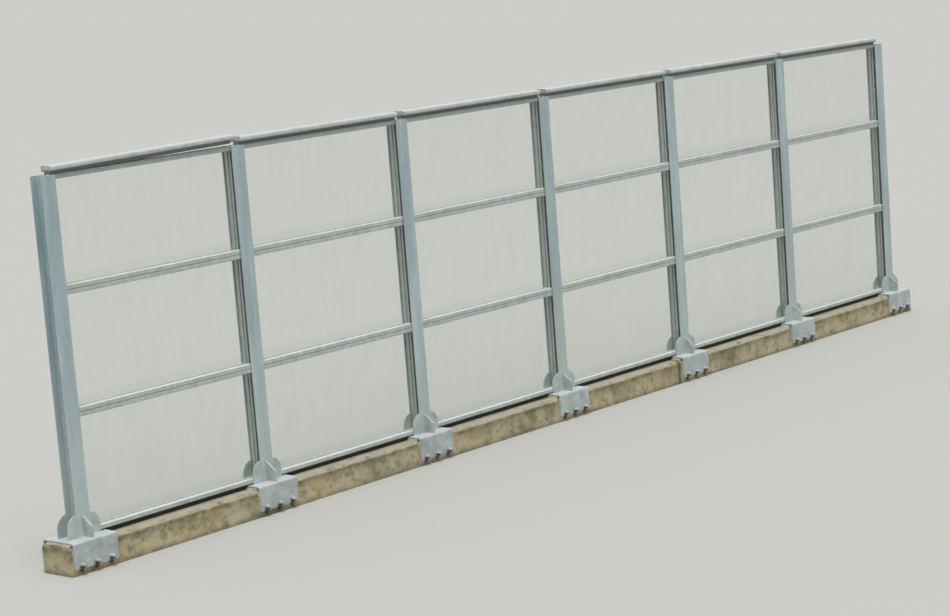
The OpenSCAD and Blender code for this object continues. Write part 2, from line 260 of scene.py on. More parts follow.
def plinth_block():
    """The kerb wall with its bevelled, chipped and slightly uneven faces."""
    columns = round(2 * row_half / column_step)
    bm = grid_block([-row_half + i * 2 * row_half / columns for i in range(columns + 1)],
                    [y / 1000 - plinth_half for y in depths_mm],
                    [z / 1000 for z in heights_mm])
    chips = by_stretch([
        (chance.uniform(-row_half, row_half), chance.choice((-1, 1)),
         chance.uniform(*chip_reach), chance.uniform(*chip_depth)) for _ in range(chip_count)])
    spalls = by_stretch([
        (chance.uniform(-row_half, row_half), chance.choice((-1, 1)), chance.uniform(*spall_height),
         chance.uniform(*spall_reach), chance.uniform(*spall_depth)) for _ in range(spall_count)])
    for v in bm.verts:
        x, y, z = v.co
        side = 1 if y > 0 else -1
        # Bevel along the top edges
        over = abs(y) + z - (plinth_half + plinth_top - plinth_bevel)
        if over > 0:
            y -= side * over / 2
            z -= over / 2
        # Nearness of the arris, which is 1 on it
        edge = (max(0.0, 1 - max(plinth_half - abs(y), 0) / arris_reach)
                * max(0.0, 1 - (plinth_top - z) / arris_reach))
        wave = noise.fractal(Vector((x * wave_rate, y * wave_rate, z * wave_rate)), 1.0, 2.0, 4)
        dimple = noise.noise(Vector((x * dimple_rate, y * dimple_rate, z * dimple_rate)))
        worn = max(0.0, noise.fractal(Vector((x * worn_rate, side * 3, 0)), 0.9, 2.0, 4) + 0.15)
        inward = mean_loss + wave_loss * wave + dimple_loss * dimple
        inward += joint_depth * max(0.0, 1 - abs(x - day_joint) / joint_half)
        arris = edge * worn * worn_loss
        here = round(x / stretch)
        for near in (here - 1, here, here + 1):
            for at, chip_side, reach, depth in chips.get(near, ()):
                if chip_side == side:
                    far = math.hypot((x - at) / reach, edge - 1)
                    arris += depth * max(0.0, 1 - far * far) ** 0.6 * (edge > 0)
            for at, spall_side, height, reach, depth in spalls.get(near, ()):
                if spall_side == side and abs(y) > plinth_half - spall_zone:
                    far = math.hypot((x - at) / reach, (z - height) / (reach * spall_flatness))
                    inward += depth * max(0.0, 1 - far * far) ** 0.5
        # The faces keep to the block's own planes and give way only inwards
        if abs(x) > row_half - 1e-4:
            x -= math.copysign(end_loss + end_wave_loss * (wave + 1) / 2, x)
        if abs(y) > plinth_half - plinth_bevel:
            y -= side * (inward * min(1, z / foot_fade) + arris * arris_share)
        if z > plinth_top - top_zone:
            z -= inward * top_share + arris * arris_share
        v.co = x, y, z
    bmesh.ops.recalc_face_normals(bm, faces=bm.faces)
    return bm


make_piece(plinth_block(), "cast_plinth", concrete, ["plinth"], sharp_over=60)

# Mortar beds
# Sand and cement mortar packed under each saddle to level it, and smeared down the upright
# edges of its aprons. It was pressed out and left rough, a little paler than the concrete.


def bedding_mortar():
    """Trowelled mortar: matt and sandy, pale grey with a warm cast."""
    material, tree, output, place = new_material("bedding_mortar")
    lumps = add_node(tree, "TexNoise", {
        "Vector": place, "Scale": per_metre(45), "Detail": 6, "Roughness": 0.65})
    colour = add_node(tree, "ValToRGB", {"Fac": lumps}, [
        (0.32, "9a937d"), (0.5, "b6af99"), (0.68, "c6c0ad")])
    sand = add_node(tree, "TexNoise", {
        "Vector": place, "Scale": per_metre(4), "Detail": 3, "Roughness": 0.7})
    rough = add_node(tree, "Bump", {"Strength": 0.6, "Distance": 0.003, "Height": sand})
    surface = add_node(tree, "BsdfPrincipled", {
        "Base Color": colour, "Roughness": 0.94, "Specular IOR Level": 0.2, "Normal": rough})
    tree.links.new(surface.outputs[0], output.inputs["Surface"])
    return material


mortar = bedding_mortar()
saddle_half, posts = 0.220, 7
bed_half, bed_top, bed_play, bed_sunk = 0.1535, 0.252, 0.0005, 0.006
post_places = [(i - (posts - 1) / 2) * post_pitch for i in range(posts)]


def mortar_bed(middle):
    """One bed: flat under the saddle plate, and ragged where it was squeezed out at the ends."""
    columns, rows = 44, 26
    least, usual, varied, most = 0.003, 0.012, 0.018, 0.027
    shoulder, toe_sunk, lump_high = 0.004, 0.002, 0.0025
    bm = grid_block([i / columns * 2 - 1 for i in range(columns + 1)],
                    [j / rows * 2 - 1 for j in range(rows + 1)], [0, 0.5, 1])
    for v in bm.verts:
        across = v.co.y * bed_half
        squeezed = noise.fractal(Vector((middle, math.copysign(2, v.co.x), across * 16)), 1.0, 2.0, 3)
        spread = usual + varied * (squeezed + 0.3)
        spread = min(max(spread, least), most) * (1 - 0.85 * abs(v.co.y) ** 8)
        along = v.co.x * (saddle_half + spread)
        out = max(0.0, abs(along) - saddle_half + shoulder) / (spread + shoulder)
        top = bed_top - bed_play - (bed_top - plinth_top + toe_sunk) * out ** 1.6
        lump = lump_high * noise.noise(Vector((middle + along * 40, across * 40, 3))) * min(1, out * 3)
        height = plinth_top - bed_sunk + (top + lump - plinth_top + bed_sunk) * v.co.z
        v.co = middle + along, across, height
    bmesh.ops.recalc_face_normals(bm, faces=bm.faces)
    return bm


def apron_fillet(middle, end, face):
    """The smear of mortar beside one upright edge of an apron, thin and ragged."""
    columns, rows, levels = 6, 2, 40
    foot, head, proud, sunk, root = 0.060, 0.226, 0.1825, 0.1690, 0.1640
    least, usual, varied, most = 0.006, 0.015, 0.010, 0.023
    lap, lump_high = 0.003, 0.0012
    bm = grid_block([i / columns for i in range(columns + 1)], [j / rows for j in range(rows + 1)],
                    [k / levels for k in range(levels + 1)])
    for v in bm.verts:
        across, out, up = v.co
        z = foot + (head - foot) * up
        smeared = noise.fractal(Vector((middle + end, face * 5, z * 18)), 1.0, 2.0, 3)
        width = min(max(usual + varied * smeared, least), most)
        lump = lump_high * noise.noise(Vector((middle + across * 3, face * 5, z * 60)))
        skin = sunk + (proud - sunk) * (1 - across ** 2) ** 0.5 + lump * (1 - across)
        v.co = (middle + end * (saddle_half - lap + across * (width + lap)),
                face * (root + (skin - root) * out), z)
    bmesh.ops.recalc_face_normals(bm, faces=bm.faces)
    return bm


def join(parts):
    """One bmesh of several."""
    whole = bmesh.new()
    for part in parts:
        mesh = bpy.data.meshes.new("part")
        part.to_mesh(mesh)
        part.free()
        whole.from_mesh(mesh)
        bpy.data.meshes.remove(mesh)
    return whole


beds = [mortar_bed(x) for x in post_places]
fillets = [apron_fillet(x, end, face) for x in post_places for end in (-1, 1) for face in (-1, 1)]
make_piece(join(beds + fillets), "bedding_mortar", mortar, ["mortar_beds"], sharp_over=60)

# Saddles
# Steel plate bent down over the plinth, with cut wings and fins welded to it and to the post,
# all dipped in hot zinc. The zinc has gone matt and mottled, with a few white run marks.


def galvanised_steel(name, run, greys, film, washer_shadows=False, spray_and_bounce=0.0):
    """
    Hot-dip zinc under its grey patina, which hides most of the metal: matt and mottled, with faint runs.
    A run below 1 draws the pattern out upright. film is the most that pale dust covers. The last argument
    is the most of the paler band near the foot, partly dust and partly painted bounce light from the ground.
    """
    material, tree, output, place = new_material(name)
    axes = add_node(tree, "SeparateXYZ", {"Vector": place})
    stretched = add_node(tree, "Mapping", {"Vector": place, "Scale": (1, 1, run)})
    mottle = add_node(tree, "TexNoise", {
        "Vector": stretched, "Scale": per_metre(120), "Detail": 8, "Roughness": 0.6, "Distortion": 0.3})
    body = add_node(tree, "ValToRGB", {"Fac": mottle}, zip((0.33, 0.50, 0.68), greys))
    # Crystals of zinc, 12 mm across
    crystals = add_node(tree, "TexVoronoi", {"Vector": place, "Scale": per_metre(12)})
    crystal_shade = add_node(tree, "MapRange", {
        "Value": add_node(tree, "RGBToBW", {"Color": crystals.outputs["Color"]}),
        "To Min": 0.93, "To Max": 1.07})
    shaded = add_node(tree, "VectorMath", {0: body.outputs[0], "Scale": crystal_shade.outputs[0]},
                      operation="SCALE")
    # Chalky white patches where rain stood
    chalk = add_node(tree, "TexNoise", {
        "Vector": stretched, "Scale": per_metre(60), "Detail": 7, "Roughness": 0.72})
    chalk_share = add_node(tree, "MapRange", {
        "Value": chalk, "From Min": 0.56, "From Max": 0.70, "To Min": 0.0, "To Max": 0.55})
    chalky = add_node(tree, "Mix", {0: chalk_share, 6: shaded, 7: linear("d0d6d7")}, data_type="RGBA")
    # Thin grime that the wind and splash left
    grime = add_node(tree, "TexNoise", {
        "Vector": stretched, "Scale": per_metre(210), "Detail": 9, "Roughness": 0.75})
    grime_share = add_node(tree, "MapRange", {
        "Value": grime, "From Min": 0.55, "From Max": 0.75, "To Min": 0.0, "To Max": 0.5})
    grimy = add_node(tree, "Mix", {0: grime_share, 6: chalky, 7: linear("8d9391")}, data_type="RGBA")
    # Pale film that dries on whatever faces up
    facing = add_node(tree, "SeparateXYZ", {"Vector": add_node(tree, "NewGeometry").outputs["Normal"]})
    film_share = add_node(tree, "MapRange", {
        "Value": facing.outputs["Z"], "From Min": 0.4, "From Max": 0.95, "To Min": 0.0, "To Max": film})
    coat = add_node(tree, "Mix", {0: film_share, 6: grimy.outputs[2], 7: linear("d6dadb")},
                    data_type="RGBA").outputs[2]
    if spray_and_bounce:
        # Paler band near the foot, partly dust dried out of splashes and partly painted bounce light from
        # the ground, thinner with height and gone by 1.7 m
        spray_and_bounce_share = add_node(tree, "MapRange", {
            "Value": ragged(tree, axes.outputs["Z"], chalk, 0.5),
            "From Min": 0.55, "From Max": 1.95, "To Min": spray_and_bounce, "To Max": 0.0})
        coat = add_node(tree, "Mix", {0: spray_and_bounce_share, 6: coat, 7: linear("d6dcd4")},
                        data_type="RGBA").outputs[2]
    if washer_shadows:
        # Painted shadow on the apron round the lower half of each washer
        caught = painted_anchor_shadow(tree, axes, chalk, middle=0.057, wide=0.045, high=0.033)
        coat = add_node(tree, "Mix", {0: caught, 6: coat, 7: linear("36332d")},
                        data_type="RGBA").outputs[2]
    dullness = add_node(tree, "MapRange", {
        "Value": chalk, "From Min": 0.3, "From Max": 0.7, "To Min": 0.45, "To Max": 0.7})
    skin = add_node(tree, "Bump", {
        "Strength": 0.35, "Distance": 0.0012,
        "Height": add_node(tree, "TexNoise", {"Vector": stretched, "Scale": per_metre(22), "Detail": 5})})
    surface = add_node(tree, "BsdfPrincipled", {
        "Base Color": coat, "Metallic": 0.2, "Roughness": dullness, "Normal": skin})
    tree.links.new(surface.outputs[0], output.inputs["Surface"])
    return material


def dress(names, material):
    """Gives CAD nodes their finish."""
    for name in names:
        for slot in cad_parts[name].material_slots:
            slot.material = material


plate_zinc = galvanised_steel("hot_dip_zinc_on_plate", 1.0, ("aab4b3", "bac6c5", "cdd7d4"), 0.7,
                              washer_shadows=True)
dress([f"saddle_{i + 1}" for i in range(posts)], plate_zinc)

saddle_top, post_front, flange_half = 0.264, 0.0665, 0.070
wing_reach, wing_thick, wing_straight, wing_round = 0.095, 0.010, 0.075, 0.10
fin_half, fin_reach, fin_high = 0.0075, 0.100, 0.166
weld_size, thin_weld_size = 0.0042, 0.0036
# The scales of a real weld are about 2 mm apart; they are drawn 8 mm apart so that they show
ring_step = 0.004


def weld_bead(start, end, outward, size):
    """A fillet weld from start to end, drawn as a rippled round bead."""
    start, end = Vector(start), Vector(end)
    along = (end - start).normalized()
    length = (end - start).length
    rings = max(4, round(length / ring_step))
    side = along.cross(Vector(outward)).normalized()
    turn = Matrix((Vector(outward).normalized(), side, along)).transposed().to_4x4()
    bm = bmesh.new()
    bmesh.ops.create_cone(bm, segments=8, radius1=size, radius2=size, depth=length, cap_ends=True,
                          matrix=Matrix.Translation((start + end) / 2) @ turn)
    rails = [e for e in bm.edges if abs((e.verts[0].co - e.verts[1].co).normalized().dot(along)) > 0.9]
    bmesh.ops.subdivide_edges(bm, edges=rails, cuts=rings)
    for v in bm.verts:
        t = (v.co - start).dot(along)
        axis = start + along * t
        swell = 1 + 0.12 * math.cos(t / ring_step * math.tau / 2) + 0.10 * noise.noise(v.co * 90)
        if t < 1e-5 or t > length - 1e-5:
            swell = 0.55
        v.co = axis + (v.co - axis) * swell
    return bm


def saddle_welds(middle):
    """The welds of one saddle: wings and fins to plate and post, and the post to the plate."""
    beads = []
    for face in (-1, 1):
        front = face * post_front
        back = face * (post_front - wing_thick)
        fin_end = front + face * fin_reach
        wing_head = saddle_top + wing_straight + wing_round
        for side in (-1, 1):
            inner = middle + side * flange_half
            outer = middle + side * (flange_half + wing_reach)
            fin = middle + side * fin_half
            runs = [
                ((inner, front, saddle_top), (outer, front, saddle_top), (0, face, 1), weld_size),
                ((inner, back, saddle_top), (outer, back, saddle_top), (0, -face, 1), weld_size),
                ((inner, back, saddle_top), (inner, back, wing_head), (side, -face, 0), thin_weld_size),
                ((fin, front, saddle_top), (fin, fin_end, saddle_top), (side, 0, 1), weld_size),
                ((fin, front, saddle_top), (fin, front, saddle_top + fin_high), (side, face, 0), weld_size),
                ((fin, front, saddle_top), (inner, front, saddle_top), (0, face, 1), weld_size)]
            beads += [weld_bead(*run) for run in runs]
    return beads


weld_zinc = galvanised_steel("hot_dip_zinc_on_welds", 1.0, ("9ba4a6", "b2bcbc", "c0c9c8"), 0.3)
make_piece(join([bead for x in post_places for bead in saddle_welds(x)]), "saddle_welds", weld_zinc)

# Anchors
# Three M24 threaded rods grouted through the plinth end in a washer and a nut on each apron.
# They are zinc plated, dull, and brighter than the plates around them.


def zinc_plate():
    """Zinc-plated bolt steel: silvery and slightly yellowed, with painted shade on its lower halves."""
    material, tree, output, place = new_material("zinc_plated_bolt_steel")
    wear = add_node(tree, "TexNoise", {
        "Vector": place, "Scale": per_metre(14), "Detail": 6, "Roughness": 0.65})
    colour = add_node(tree, "ValToRGB", {"Fac": wear}, [
        (0.30, "a3a5a1"), (0.48, "d0d3d1"), (0.66, "e6e8e5")])
    # Painted shade on their lower halves, which face away from the sky
    axes = add_node(tree, "SeparateXYZ", {"Vector": place})
    lower_half_shade_share = add_node(tree, "MapRange", {
        "Value": ragged(tree, axes.outputs["Z"], wear, 0.012),
        "From Min": 0.080, "From Max": 0.096, "To Min": 0.9, "To Max": 0.0})
    lower_half_shaded = add_node(tree, "Mix", {0: lower_half_shade_share, 6: colour, 7: linear("3d3a34")}, data_type="RGBA")
    dullness = add_node(tree, "MapRange", {
        "Value": wear, "From Min": 0.3, "From Max": 0.7, "To Min": 0.52, "To Max": 0.32})
    skin = add_node(tree, "Bump", {
        "Strength": 0.25, "Distance": 0.0006,
        "Height": add_node(tree, "TexNoise", {"Vector": place, "Scale": per_metre(3), "Detail": 3})})
    surface = add_node(tree, "BsdfPrincipled", {
        "Base Color": lower_half_shaded.outputs[2], "Metallic": 0.45, "Roughness": dullness, "Normal": skin})
    tree.links.new(surface.outputs[0], output.inputs["Surface"])
    return material


bolt_zinc = zinc_plate()
apron_face, anchor_z = 0.187, 0.084
washer_r, washer_t = 0.023, 0.004
nut_flats, nut_h = 0.036, 0.020
nut_face_r, nut_blank_r = nut_flats * 0.475, nut_flats * 0.6
rod_r, rod_out, rod_in_nut = 0.012, 0.016, 0.006
rod_chamfer, rod_taper = 0.002, 0.12
thread_pitch, thread_depth = 0.003, 0.0016


def lathe(profile, segments, reshape=None):
    """A closed shape turned about Z from (radius, height) points. reshape may then move its points."""
    bm = bmesh.new()
    points = [bm.verts.new((r, 0, z)) for r, z in profile]
    spine = [bm.edges.new(pair) for pair in zip(points, points[1:])]
    bmesh.ops.spin(bm, geom=points + spine, cent=(0, 0, 0), axis=(0, 0, 1), angle=math.tau,
                   steps=segments, use_merge=True)
    bmesh.ops.remove_doubles(bm, verts=bm.verts, dist=1e-6)
    bmesh.ops.holes_fill(bm, edges=[e for e in bm.edges if e.is_boundary], sides=segments)
    if reshape:
        for v in bm.verts:
            v.co = reshape(v.co)
    bmesh.ops.recalc_face_normals(bm, faces=bm.faces)
    return bm


def hex_reach(angle):
    """Distance from the middle of the nut to its flat, in that direction."""
    return nut_flats / 2 / math.cos((angle + math.pi / 6) % (math.pi / 3) - math.pi / 6)


def nut_form(co):
    """Turns a round blank into a hexagon nut with the corners chamfered at 30 degrees."""
    angle = math.atan2(co.y, co.x)
    radius = math.hypot(co.x, co.y)
    reach = min(radius, hex_reach(angle))
    lost = max(0.0, reach - nut_face_r) * math.tan(math.radians(30))
    height = co.z
    if radius > nut_flats * 0.5:
        height = min(max(height, washer_t + lost), washer_t + nut_h - lost)
    return Vector((reach * math.cos(angle), reach * math.sin(angle), height))


def anchor_thread():
    """The rod's end past the nut, with its thread and a chamfer."""
    turns, segments = 7, 18
    bm = bmesh.new()
    points = []
    for k in range(turns * 2 + 1):
        deep = 0.0 if k % 2 else thread_depth
        points.append(bm.verts.new((rod_r - deep, 0, washer_t + nut_h - rod_in_nut + k * thread_pitch / 2)))
    spine = [bm.edges.new(pair) for pair in zip(points, points[1:])]
    bmesh.ops.spin(bm, geom=points + spine, cent=(0, 0, 0), axis=(0, 0, 1), angle=math.tau,
                   dvec=(0, 0, thread_pitch / segments), steps=segments)
    bmesh.ops.remove_doubles(bm, verts=bm.verts, dist=1e-5)
    limit = washer_t + nut_h + rod_out
    for v in bm.verts:
        if v.co.z > limit - rod_chamfer:
            shrink = 1 - rod_taper * min(1, (v.co.z - limit + rod_chamfer) / rod_chamfer)
            v.co = Vector((v.co.x * shrink, v.co.y * shrink, min(v.co.z, limit)))
    bmesh.ops.remove_doubles(bm, verts=bm.verts, dist=1e-6)
    bmesh.ops.holes_fill(bm, edges=[e for e in bm.edges if e.is_boundary], sides=0)
    bmesh.ops.recalc_face_normals(bm, faces=bm.faces)
    return bm


def set_of_anchors(make_one):
    """Copies of one part on every anchor, each turned a little differently about its rod."""
    copies = []
    for x in post_places:
        for face in (-1, 1):
            for n in (-1, 0, 1):
                bm = make_one()
                spot = Matrix.Translation((x + n * anchor_pitch, face * apron_face, anchor_z))
                aim = Matrix.Rotation(math.radians(90 if face < 0 else -90), 4, "X")
                twist = Matrix.Rotation(chance.uniform(0, math.tau), 4, "Z")
                bmesh.ops.transform(bm, matrix=spot @ aim @ twist, verts=bm.verts)
                copies.append(bm)
    return join(copies)


washer_profile = [(rod_r + 0.0005, 0.0), (washer_r - 0.0004, 0.0), (washer_r, 0.0005),
                  (washer_r, washer_t - 0.0005), (washer_r - 0.0006, washer_t), (rod_r + 0.0005, washer_t)]
nut_profile = [(rod_r - 0.001, washer_t), (nut_face_r, washer_t), (nut_blank_r, washer_t + 0.0001),
               (nut_blank_r, washer_t + nut_h - 0.0001), (nut_face_r, washer_t + nut_h),
               (rod_r + 0.001, washer_t + nut_h), (rod_r - 0.001, washer_t + nut_h - 0.0015)]
make_piece(set_of_anchors(lambda: lathe(washer_profile, 32)), "anchor_washers", bolt_zinc)
make_piece(set_of_anchors(lambda: lathe(nut_profile, 36, nut_form)), "anchor_hex_nuts", bolt_zinc,
           ["anchor_nuts"], sharp_over=20)
make_piece(set_of_anchors(anchor_thread), "anchor_rod_ends", bolt_zinc, sharp_over=30)

# Posts
# Rolled H sections, 140 by 133 mm, dipped in hot zinc. Rain has drawn long faint runs down
# the flanges. Their lower half is paler, partly with pale dust left by grimy splashes and partly with
# painted bounce light from the ground.

post_zinc = galvanised_steel("hot_dip_zinc_on_rolled_post", 0.12, ("a3b6b9", "afc1c4", "c0d2d5"), 0.4,
                             spray_and_bounce=0.45)
dress([f"post_{i + 1}" for i in range(posts)], post_zinc)

# Cassette frames
# Hollow aluminium extrusions with a satin natural anodised finish. Rails and stiles show the
# die's fine lines along their length, and grey dust lies where water dries.

bays, cap_half = 6, 0.958
bay_places = [(k - (bays - 1) / 2) * post_pitch for k in range(bays)]


def extruded_aluminium(name, grain, dark, light, film, under_cap_shade, lift=0.0):
    """
    Natural anodised extrusion: satin and chalked, with die lines along it and dried rain marks.
    film is the most that pale dust covers. The sixth argument gives the heights where the painted shade
    under the cap starts, is full, thins and ends. lift is how far the first bay's part of it has risen at
    its far end.
    """
    material, tree, output, place = new_material(name)
    drawn = add_node(tree, "Mapping", {"Vector": place, "Scale": grain})
    # Real die lines are finer than 1 mm; they are drawn 5 mm apart so that they show
    lines = add_node(tree, "TexNoise", {
        "Vector": drawn, "Scale": per_metre(5), "Detail": 3, "Roughness": 0.6})
    marks = add_node(tree, "TexNoise", {
        "Vector": place, "Scale": per_metre(75), "Detail": 8, "Roughness": 0.68, "Distortion": 0.5})
    body = add_node(tree, "ValToRGB", {"Fac": marks}, [(0.32, dark), (0.50, "bfc8c5"), (0.70, light)])
    line_shade = add_node(tree, "MapRange", {
        "Value": lines, "From Min": 0.3, "From Max": 0.7, "To Min": 0.95, "To Max": 1.05})
    shaded = add_node(tree, "VectorMath", {0: body.outputs[0], "Scale": line_shade.outputs[0]},
                      operation="SCALE")
    dust = add_node(tree, "TexNoise", {
        "Vector": place, "Scale": per_metre(240), "Detail": 8, "Roughness": 0.7})
    dust_share = add_node(tree, "MapRange", {
        "Value": dust, "From Min": 0.50, "From Max": 0.72, "To Min": 0.0, "To Max": 0.45})
    dusty = add_node(tree, "Mix", {0: dust_share, 6: shaded, 7: linear("a9aba4")}, data_type="RGBA")
    # Painted shade in the recess under the cap
    axes = add_node(tree, "SeparateXYZ", {"Vector": place})
    height = axes.outputs["Z"]
    if lift:
        # The first bay's cap has its recess higher towards its lifted end
        first = bay_places[0]
        rise = add_node(tree, "MapRange", {
            "Value": axes.outputs["X"], "From Min": first - cap_half, "From Max": first + cap_half,
            "To Min": 0.0, "To Max": lift})
        in_first = add_node(tree, "Math", {0: axes.outputs["X"], 1: first + post_pitch / 2},
                            operation="LESS_THAN")
        rise_there = add_node(tree, "Math", {0: rise, 1: in_first}, operation="MULTIPLY")
        height = add_node(tree, "Math", {0: height, 1: rise_there}, operation="SUBTRACT").outputs[0]
    shade_start, shade_full, shade_thins, shade_end = under_cap_shade
    above = add_node(tree, "MapRange", {
        "Value": height, "From Min": shade_start, "From Max": shade_full, "To Min": 0.0, "To Max": 0.9})
    below = add_node(tree, "MapRange", {
        "Value": height, "From Min": shade_thins, "From Max": shade_end, "To Min": 1.0, "To Max": 0.0})
    under_cap_shade_share = add_node(tree, "Math", {0: above, 1: below}, operation="MULTIPLY")
    under_cap_shaded = add_node(tree, "Mix", {0: under_cap_shade_share, 6: dusty.outputs[2], 7: linear("6a6f6c")},
                     data_type="RGBA")
    # Pale dust and lime that dry on whatever faces up
    facing = add_node(tree, "SeparateXYZ", {"Vector": add_node(tree, "NewGeometry").outputs["Normal"]})
    film_share = add_node(tree, "MapRange", {
        "Value": facing.outputs["Z"], "From Min": 0.4, "From Max": 0.95, "To Min": 0.0, "To Max": film})
    filmed = add_node(tree, "Mix", {0: film_share, 6: under_cap_shaded.outputs[2], 7: linear("ecf2ee")},
                      data_type="RGBA")
    dullness = add_node(tree, "MapRange", {
        "Value": marks, "From Min": 0.3, "From Max": 0.7, "To Min": 0.36, "To Max": 0.52})
    grooves = add_node(tree, "Bump", {"Strength": 0.12, "Distance": 0.0005, "Height": lines})
    surface = add_node(tree, "BsdfPrincipled", {
        "Base Color": filmed.outputs[2], "Metallic": 0.25, "Roughness": dullness, "Normal": grooves})
    tree.links.new(surface.outputs[0], output.inputs["Surface"])
    return material


along_row, upright = (0.02, 1, 1), (1, 1, 0.02)
# Heights where the painted shade under the cap starts, is full, thins and ends, on rails and stiles
rail_cap_shade = (3.060, 3.135, 3.160, 3.170)
rail_aluminium = extruded_aluminium("anodised_rail_extrusion", along_row, "aeb7b4", "d1d9d5", 0.9, rail_cap_shade)
stile_aluminium = extruded_aluminium("anodised_stile_extrusion", upright, "adb6b3", "ced6d2", 0.4, rail_cap_shade)
dress([f"bay_{k + 1}_rails" for k in range(bays)], rail_aluminium)
dress([f"bay_{k + 1}_stiles" for k in range(bays)], stile_aluminium)

# Panes
# Cast acrylic sheet, 15 mm thick, clear with a faint green-grey cast. Dust hazes it,
# most in the lowest cassettes and in a band along each lower edge where rain dries.


def cast_acrylic():
    """Clear cast acrylic under a thin film of dust. Lamps pass through it as through the real sheet."""
    material, tree, output, place = new_material("clear_cast_acrylic")
    axes = add_node(tree, "SeparateXYZ", {"Vector": place})
    height = axes.outputs["Z"]
    first_sill, cassette_step = 0.313, 0.969
    in_cassette = add_node(tree, "Math", {
        0: add_node(tree, "Math", {0: height, 1: first_sill}, operation="SUBTRACT"), 1: cassette_step},
        operation="MODULO")
    runs = add_node(tree, "TexNoise", {
        "Vector": add_node(tree, "Mapping", {"Vector": place, "Scale": (1, 1, 0.10)}),
        "Scale": per_metre(45), "Detail": 6, "Roughness": 0.65})
    clouds = add_node(tree, "TexNoise", {
        "Vector": place, "Scale": per_metre(420), "Detail": 6, "Roughness": 0.6})
    film = add_node(tree, "MapRange", {
        "Value": clouds, "From Min": 0.3, "From Max": 0.7, "To Min": 0.01, "To Max": 0.035})
    streak = add_node(tree, "MapRange", {
        "Value": runs, "From Min": 0.5, "From Max": 0.75, "To Min": 0.0, "To Max": 0.03})
    sill_band = add_node(tree, "MapRange", {
        "Value": in_cassette, "From Min": 0.0, "From Max": 0.12, "To Min": 0.05, "To Max": 0.0},
        interpolation_type="SMOOTHSTEP")
    splash = add_node(tree, "MapRange", {
        "Value": height, "From Min": 0.3, "From Max": 1.5, "To Min": 0.035, "To Max": 0.0},
        interpolation_type="SMOOTHSTEP")
    share = add_node(tree, "Math", {0: film, 1: streak}, operation="ADD")
    share = add_node(tree, "Math", {0: share, 1: sill_band}, operation="ADD")
    share = add_node(tree, "Math", {0: share, 1: splash}, operation="ADD", use_clamp=True)
    sheet = add_node(tree, "BsdfPrincipled", {
        "Base Color": linear("f8fcf9"), "Roughness": 0.03, "IOR": 1.49, "Transmission Weight": 1.0})
    dust = add_node(tree, "BsdfDiffuse", {"Color": linear("a6a99f"), "Roughness": 0.5})
    dusty = add_node(tree, "MixShader", {0: share, 1: sheet, 2: dust})
    let_through = add_node(tree, "BsdfTransparent", {"Color": linear("f8fbf8")})
    lamp_ray = add_node(tree, "LightPath").outputs["Is Shadow Ray"]
    surface = add_node(tree, "MixShader", {0: lamp_ray, 1: dusty, 2: let_through})
    tree.links.new(surface.outputs[0], output.inputs["Surface"])
    return material


acrylic = cast_acrylic()
dress([f"bay_{k + 1}_panes" for k in range(bays)], acrylic)

# Gaskets, side rubbers and seals
# Extruded EPDM: light grey where it holds the panes in their grooves, black where it packs the
# frames in the posts and closes the joints. Sun and dust have bleached what faces the front.
# The dark packing at the front of each post's channel also paints the shade behind the front flange.


def epdm_rubber(name, greys):
    """EPDM profile: matt, its colour bleached in blotches, with pale dust."""
    material, tree, output, place = new_material(name)
    bloom = add_node(tree, "TexNoise", {
        "Vector": place, "Scale": per_metre(60), "Detail": 7, "Roughness": 0.7})
    colour = add_node(tree, "ValToRGB", {"Fac": bloom}, zip((0.35, 0.55, 0.72), greys))
    skin = add_node(tree, "Bump", {
        "Strength": 0.2, "Distance": 0.0006,
        "Height": add_node(tree, "TexNoise", {"Vector": place, "Scale": per_metre(4), "Detail": 4})})
    dullness = add_node(tree, "MapRange", {
        "Value": bloom, "From Min": 0.3, "From Max": 0.7, "To Min": 0.58, "To Max": 0.8})
    surface = add_node(tree, "BsdfPrincipled", {
        "Base Color": colour, "Roughness": dullness, "Specular IOR Level": 0.4, "Normal": skin})
    tree.links.new(surface.outputs[0], output.inputs["Surface"])
    return material


black_epdm = epdm_rubber("black_epdm_rubber", ("222425", "2f3132", "494a47"))
packing_and_shade_epdm = epdm_rubber("bleached_epdm_packing_as_flange_shade", ("46494a", "5b5e5e", "777974"))
grey_epdm = epdm_rubber("grey_epdm_rubber", ("b0b3af", "c2c5c1", "d2d3ce"))
dress(["joint_seals", "bottom_seals", "bearing_pads"], black_epdm)
# The side rubbers are real packing, and their dark grey also paints the shade behind each front flange
dress(["side_rubbers"], packing_and_shade_epdm)
dress(["glazing_gaskets"], grey_epdm)

# Caps
# One rounded aluminium tube on a neck along the top of each bay, with a plate welded into each end.
# Its tongue sits in the top rail's channel, and a bead of grey sealant on both sides of the neck
# holds it down. The first bay's has torn off its bead and lifted at one end.

cap_lift = 0.024
# Heights of the painted shade on the cap's neck and lower side, under its overhang
neck_cap_shade = (3.090, 3.112, 3.146, 3.158)
cap_aluminium = extruded_aluminium("anodised_cap_extrusion", along_row, "aab2b2", "ccd3d3", 0.5, neck_cap_shade,
                                   lift=cap_lift)
dress([f"bay_{k + 1}_cap" for k in range(bays)], cap_aluminium)


